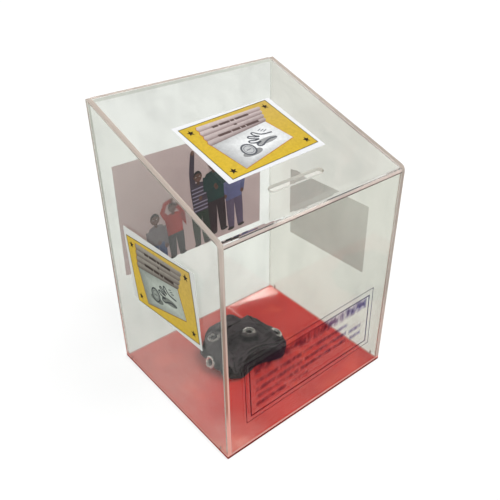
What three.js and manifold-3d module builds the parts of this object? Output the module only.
// A clear acrylic donation box: four walls and a sloping lid panel bonded into one cover, a red base
// plate held on by four screws from below, paper labels on three faces, a film with a printed frame on
// the front, a picture inside the back wall, and a soft black cash pouch lying on the base.
// Millimetres, +Z up, front towards -Y, origin at the middle of the underside.
import * as THREE from 'three';
import { mergeVertices } from 'three/addons/utils/BufferGeometryUtils.js';
import Module from 'manifold-3d';

// ---- driving dimensions ----
const WIDTH = 250;             // outside, along X
const DEPTH = 220;             // outside, along Y
const FRONT_HEIGHT = 277;      // outside, floor to the lid's top face at the front
const BACK_HEIGHT = 348;       // outside, floor to the lid's top face at the back
const SHEET = 5;               // clear sheet thickness
const BASE = 3;                // red base plate thickness
const GAP = 0.3;               // glue line between neighbouring sheets
const EDGE_ROUND = 6;          // radius of the side walls' top corners
const LID_ROUND = 3.5;         // radius of the lid panel's front top edge

const SLOT = { length: 72, width: 8, x: -1.5, along: 37.5 };   // along: up the slope from the front

const PAPER = 0.4;             // thickness of labels and picture
const PAPER_GAP = 0.15;        // clear distance between a paper and the sheet it is stuck to
const LABEL = { width: 134, height: 93 };
const LID_LABEL = { x: -3.9, along: 109.9, turn: 2.7 };        // turn in degrees
const LEFT_LABEL = { y: -4.8, z: 177, turn: 3.2 };
const RIGHT_LABEL = { y: 0.5, z: 163.7, turn: -0.7 };
const PICTURE = { width: 208, height: 144, x: -3.5, z: 196.5, turn: -0.6 };

const FILM = { width: 200, height: 90, x: -1.3, z: 84.3, thick: 0.25, corner: 3 };

const SCREW = {
  shank: 2, head: 3.8, headDepth: 1.2, length: 8, lift: 0.3, inset: 14, clearance: 0.3,
  recess: { length: 2, width: 0.5, depth: 0.6 },
};

const POUCH = { x: -4, y: 15, width: 109, depth: 101, height: 34, squareness: 2.6 };
const EYELET = { inner: 4.6, outer: 8.2, thick: 1.6 };
// Where each eyelet sits on the pouch: direction round the pouch, and how far out from its middle.
const EYELETS = [
  { name: 'pouch_eyelet_1', angle: -44, out: 0.12 },
  { name: 'pouch_eyelet_2', angle: 152, out: 0.62 },
  { name: 'pouch_eyelet_3', angle: -38, out: 0.74 },
  { name: 'pouch_eyelet_4', angle: -174, out: 0.97 },
];

// ---- worked-out dimensions ----
const SLOPE = Math.atan2(BACK_HEIGHT - FRONT_HEIGHT, DEPTH);
const LID_DROP = SHEET / Math.cos(SLOPE);          // the lid's thickness measured straight down
const GAP_DROP = GAP / Math.cos(SLOPE);
const HALF_W = WIDTH / 2;
const HALF_D = DEPTH / 2;
const INNER_HALF_W = HALF_W - SHEET - GAP;         // half width of the pieces between the side walls
const COVER_BOTTOM = BASE + GAP;

const wasm = await Module();
wasm.setup();

// ---- materials ----
const paint = (color, roughness, metalness = 0) =>
  new THREE.MeshStandardMaterial({ color, roughness, metalness });

const clearSheet = () => {
  const material = paint(0xdfe6de, 0.05);
  material.transparent = true;
  material.opacity = 0.3;
  return material;
};

// ---- small helpers ----
// Height of the lid's top face at a given y.
const lidTop = (y) => FRONT_HEIGHT + (y + HALF_D) * Math.tan(SLOPE);

// A closed mesh as a manifold-3d solid.
function solid(geometry) {
  const plain = geometry.index ? geometry.toNonIndexed() : geometry.clone();
  plain.deleteAttribute('normal');
  plain.deleteAttribute('uv');
  const merged = mergeVertices(plain, 1e-4);
  return new wasm.Manifold(new wasm.Mesh({
    numProp: 3,
    vertProperties: new Float32Array(merged.attributes.position.array),
    triVerts: new Uint32Array(merged.index.array),
  }));
}

// A manifold-3d solid back as a BufferGeometry.
function geometryOf(body) {
  const { vertProperties, triVerts } = body.getMesh();
  const geometry = new THREE.BufferGeometry();
  geometry.setAttribute('position', new THREE.BufferAttribute(vertProperties, 3));
  geometry.setIndex(new THREE.BufferAttribute(triVerts, 1));
  geometry.computeVertexNormals();
  return geometry;
}

// An outline through corner points [x, y, radius], each corner rounded by its radius.
function roundedOutline(corners) {
  const shape = new THREE.Shape();
  corners.forEach(([x, y, radius], i) => {
    const corner = new THREE.Vector2(x, y);
    const before = new THREE.Vector2(...corners.at(i - 1).slice(0, 2));
    const after = new THREE.Vector2(...corners[(i + 1) % corners.length].slice(0, 2));
    const start = corner.clone().add(before.sub(corner).setLength(radius));
    const end = corner.clone().add(after.sub(corner).setLength(radius));
    if (i === 0) shape.moveTo(start.x, start.y);
    else shape.lineTo(start.x, start.y);
    if (radius > 0) shape.quadraticCurveTo(x, y, end.x, end.y);
  });
  shape.closePath();
  return shape;
}

// A flat outline given a thickness, centred on its own plane.
function plate(shape, thick, curveSegments = 6) {
  const geometry = new THREE.ExtrudeGeometry(shape, { depth: thick, bevelEnabled: false, curveSegments });
  return geometry.translate(0, 0, -thick / 2);
}

// An outline drawn in (Y, Z), given a thickness along X and moved to x.
function sideways(shape, thick, x) {
  const turn = new THREE.Matrix4().makeBasis(
    new THREE.Vector3(0, 1, 0), new THREE.Vector3(0, 0, 1), new THREE.Vector3(1, 0, 0));
  return plate(shape, thick).applyMatrix4(turn).translate(x, 0, 0);
}

function mesh(name, geometry, material) {
  const piece = new THREE.Mesh(geometry, material);
  piece.name = name;
  return piece;
}

// A frame lying in the lid's top face: x across, y up the slope, z out of the face.
function lidFrame(x, along) {
  const frame = new THREE.Group();
  frame.position.set(x, -HALF_D + along * Math.cos(SLOPE), FRONT_HEIGHT + along * Math.sin(SLOPE));
  frame.rotation.x = SLOPE;
  return frame;
}

// ---- screws: their places, bodies and holes ----
function screwPlaces() {
  const x = HALF_W - SHEET / 2;
  const y = HALF_D - SCREW.inset;
  return [[-x, -y], [x, -y], [x, y], [-x, y]];
}

// A solid of revolution about Z from [radius, height] points.
function turned(points, segments = 24) {
  const profile = points.map(([radius, height]) => new THREE.Vector2(radius, height));
  return new THREE.LatheGeometry(profile, segments).rotateX(Math.PI / 2);
}

// A countersunk screw, head down, standing on its head's face, with a cross recess in the head.
function screwBody() {
  const r = SCREW.shank / 2;
  const rim = 0.3;
  const point = 0.8;
  const body = solid(turned([
    [0, 0], [SCREW.head / 2, 0], [SCREW.head / 2, rim], [r, SCREW.headDepth],
    [r, SCREW.length - point], [r - point, SCREW.length], [0, SCREW.length],
  ]));
  const { length, width, depth } = SCREW.recess;
  const bar = () => new THREE.BoxGeometry(length, width, 2 * depth);
  const cross = solid(bar()).add(solid(bar().rotateZ(Math.PI / 2)));
  return geometryOf(body.subtract(cross));
}

// The clearance hole through the base, wider at the bottom for the screw's head.
function headHole() {
  const wide = SCREW.head / 2 + SCREW.clearance;
  const narrow = SCREW.shank / 2 + SCREW.clearance;
  const shoulder = 2 * SCREW.lift;
  return turned([
    [0, -1], [wide, -1], [wide, shoulder], [narrow, SCREW.headDepth + shoulder], [narrow, BASE + 1], [0, BASE + 1],
  ]);
}

// The blind hole in a side wall's bottom edge that the screw's shank goes into.
function shankHole() {
  const r = SCREW.shank / 2 + SCREW.clearance;
  const top = SCREW.lift + SCREW.length + SCREW.clearance;
  return turned([[0, 0], [r, 0], [r, top], [0, top]]);
}

// ---- clear sheets ----
// A side wall: full depth and full height, its top following the slope.
function sideWall(side) {
  const outline = roundedOutline([
    [-HALF_D, COVER_BOTTOM, 0], [HALF_D, COVER_BOTTOM, 0],
    [HALF_D, BACK_HEIGHT, EDGE_ROUND / 2], [-HALF_D, FRONT_HEIGHT, EDGE_ROUND],
  ]);
  let wall = solid(sideways(outline, SHEET, side * (HALF_W - SHEET / 2)));
  for (const [x, y] of screwPlaces()) {
    if (Math.sign(x) === side) wall = wall.subtract(solid(shankHole().translate(x, y, 0)));
  }
  return geometryOf(wall);
}

// The front or back wall, between the side walls, its top edge cut to the slope under the lid.
function endWall(outerY, innerY) {
  const top = (y) => lidTop(y) - LID_DROP - GAP_DROP;
  const outline = roundedOutline([
    [outerY, COVER_BOTTOM, 0], [innerY, COVER_BOTTOM, 0], [innerY, top(innerY), 0], [outerY, top(outerY), 0],
  ]);
  return sideways(outline, 2 * INNER_HALF_W, 0);
}

function capsule(length, width) {
  const r = width / 2;
  const half = length / 2 - r;
  const shape = new THREE.Shape();
  shape.absarc(half, 0, r, -Math.PI / 2, Math.PI / 2, false);
  shape.absarc(-half, 0, r, Math.PI / 2, 3 * Math.PI / 2, false);
  return shape;
}

// The sloping lid panel, between the side walls, lying on the front and back walls, with its slot.
function lidPanel() {
  const outline = roundedOutline([
    [-HALF_D, FRONT_HEIGHT - LID_DROP, 0], [HALF_D, BACK_HEIGHT - LID_DROP, 0],
    [HALF_D, BACK_HEIGHT, LID_ROUND / 2], [-HALF_D, FRONT_HEIGHT, LID_ROUND],
  ]);
  const cutter = plate(capsule(SLOT.length, SLOT.width), 4 * SHEET, 10);
  const place = lidFrame(SLOT.x, SLOT.along);
  place.updateMatrix();
  cutter.applyMatrix4(place.matrix);
  return geometryOf(solid(sideways(outline, 2 * INNER_HALF_W, 0)).subtract(solid(cutter)));
}

// ---- papers and film ----
const paperOutline = (width, height, corner = 0.8) => roundedOutline([
  [-width / 2, -height / 2, corner], [width / 2, -height / 2, corner],
  [width / 2, height / 2, corner], [-width / 2, height / 2, corner],
]);

function lidLabel() {
  const frame = lidFrame(LID_LABEL.x, LID_LABEL.along);
  const label = mesh('lid_label', plate(paperOutline(LABEL.width, LABEL.height), PAPER), paint(0xf2efe4, 0.5));
  label.position.z = PAPER_GAP + PAPER / 2;
  label.rotation.z = THREE.MathUtils.degToRad(LID_LABEL.turn);
  frame.add(label);
  return frame;
}

// A frame standing upright that faces along a level direction: x to its right, y up, z out of its face.
function uprightFrame(facing, x, y, z) {
  const frame = new THREE.Group();
  const up = new THREE.Vector3(0, 0, 1);
  const right = new THREE.Vector3().crossVectors(up, facing);
  frame.quaternion.setFromRotationMatrix(new THREE.Matrix4().makeBasis(right, up, facing));
  frame.position.set(x, y, z);
  return frame;
}

// A label on a side wall's outside face, its printed side facing out.
function wallLabel(name, side, place) {
  const x = side * (HALF_W + PAPER_GAP + PAPER / 2);
  const frame = uprightFrame(new THREE.Vector3(side, 0, 0), x, place.y, place.z);
  const label = mesh(name, plate(paperOutline(LABEL.width, LABEL.height), PAPER), paint(0xf2efe4, 0.5));
  label.rotation.z = THREE.MathUtils.degToRad(place.turn);
  frame.add(label);
  return frame;
}

function picture() {
  const sheet = mesh('back_picture', plate(paperOutline(PICTURE.width, PICTURE.height), PAPER),
    paint(0xb9a5a2, 0.45));
  const y = HALF_D - SHEET - PAPER_GAP - PAPER / 2;
  const frame = uprightFrame(new THREE.Vector3(0, -1, 0), PICTURE.x, y, PICTURE.z);
  sheet.rotation.z = THREE.MathUtils.degToRad(PICTURE.turn);
  frame.add(sheet);
  return frame;
}

function frontFilm() {
  const film = mesh('front_film', plate(paperOutline(FILM.width, FILM.height, FILM.corner), FILM.thick),
    paint(0x39377e, 0.3));
  const y = -HALF_D - PAPER_GAP - FILM.thick / 2;
  const frame = uprightFrame(new THREE.Vector3(0, -1, 0), FILM.x, y, FILM.z);
  frame.add(film);
  return frame;
}

// ---- base ----
function basePlate() {
  let base = solid(new THREE.BoxGeometry(WIDTH, DEPTH, BASE).translate(0, 0, BASE / 2));
  for (const [x, y] of screwPlaces()) base = base.subtract(solid(headHole().translate(x, y, 0)));
  return geometryOf(base);
}

// ---- pouch ----
// Half height profile of the pouch: [share of the half width, share of the height].
const POUCH_PROFILE = [
  [0, 0], [0.9, 0], [0.97, 0.1], [1, 0.25], [0.985, 0.42], [0.94, 0.6], [0.86, 0.76], [0.72, 0.88],
  [0.5, 0.96], [0.25, 0.99], [0, 1],
];

// How far the pouch's outline reaches in a direction, for a unit half width and half depth.
function outlineReach(angle) {
  const n = POUCH.squareness;
  return (Math.abs(Math.cos(angle)) ** n + Math.abs(Math.sin(angle)) ** n) ** (-1 / n);
}

const POUCH_BOTTOM = BASE + GAP;

// A point of the pouch's skin: a share of the way out, at a share of the height.
function pouchPoint(angle, out, up) {
  const reach = out * outlineReach(angle);
  return new THREE.Vector3(
    POUCH.x + POUCH.width / 2 * reach * Math.cos(angle),
    POUCH.y + POUCH.depth / 2 * reach * Math.sin(angle),
    POUCH_BOTTOM + up * POUCH.height);
}

function pouchBody() {
  const geometry = turned(POUCH_PROFILE, 40);
  const position = geometry.attributes.position;
  for (let i = 0; i < position.count; i += 1) {
    const x = position.getX(i);
    const y = position.getY(i);
    const moved = pouchPoint(Math.atan2(y, x), Math.hypot(x, y), position.getZ(i));
    position.setXYZ(i, moved.x, moved.y, moved.z);
  }
  return geometryOf(solid(geometry));
}

// Height share of the pouch's skin at a share of the way out, on its upper side.
function skinHeight(out) {
  const upper = POUCH_PROFILE.slice(3).reverse();
  const next = upper.findIndex(([reach]) => reach >= out);
  const [outA, upA] = upper[next - 1];
  const [outB, upB] = upper[next];
  return upA + (upB - upA) * (out - outA) / (outB - outA);
}

// A rolled metal eyelet resting on the pouch's skin, square to it.
function eyelet({ name, angle, out }) {
  const turn = THREE.MathUtils.degToRad(angle);
  const step = 0.02;
  const at = pouchPoint(turn, out, skinHeight(out));
  const inwards = pouchPoint(turn, out - step, skinHeight(out - step)).sub(at);
  const along = pouchPoint(turn + step, out, skinHeight(out)).sub(at);
  const normal = new THREE.Vector3().crossVectors(inwards, along).normalize();
  if (normal.z < 0) normal.negate();
  const middle = (EYELET.inner + EYELET.outer) / 2;
  const half = (EYELET.outer - EYELET.inner) / 2;
  const ring = Array.from({ length: 11 }, (_, i) => {
    const a = 2 * Math.PI * (i % 10) / 10;
    return [middle + half * Math.cos(a), EYELET.thick / 2 * Math.sin(a)];
  });
  const piece = mesh(name, turned(ring, 28), paint(0xc9c8c4, 0.25, 1));
  piece.quaternion.setFromUnitVectors(new THREE.Vector3(0, 0, 1), normal);
  piece.position.copy(at).addScaledVector(normal, EYELET.thick / 2 + 2 * GAP);
  return piece;
}

// ---- assembly ----
const box = new THREE.Group();

const cover = new THREE.Group();
cover.add(mesh('left_wall', sideWall(-1), clearSheet()));
cover.add(mesh('right_wall', sideWall(1), clearSheet()));
cover.add(mesh('front_wall', endWall(-HALF_D, -HALF_D + SHEET), clearSheet()));
cover.add(mesh('back_wall', endWall(HALF_D - SHEET, HALF_D), clearSheet()));
cover.add(mesh('lid_panel', lidPanel(), clearSheet()));
cover.add(lidLabel());
cover.add(wallLabel('left_label', -1, LEFT_LABEL));
cover.add(wallLabel('right_label', 1, RIGHT_LABEL));
cover.add(picture());
cover.add(frontFilm());
box.add(cover);

const base = new THREE.Group();
base.add(mesh('base_plate', basePlate(), paint(0xc8352b, 0.12)));
screwPlaces().forEach(([x, y], i) => {
  const screw = mesh(`base_screw_${i + 1}`, screwBody(), paint(0xb9bbbd, 0.3, 1));
  screw.position.set(x, y, SCREW.lift);
  base.add(screw);
});
box.add(base);

const pouch = new THREE.Group();
pouch.add(mesh('pouch_body', pouchBody(), paint(0x1d1c20, 0.7)));
EYELETS.forEach((spec) => pouch.add(eyelet(spec)));
box.add(pouch);

export default box;
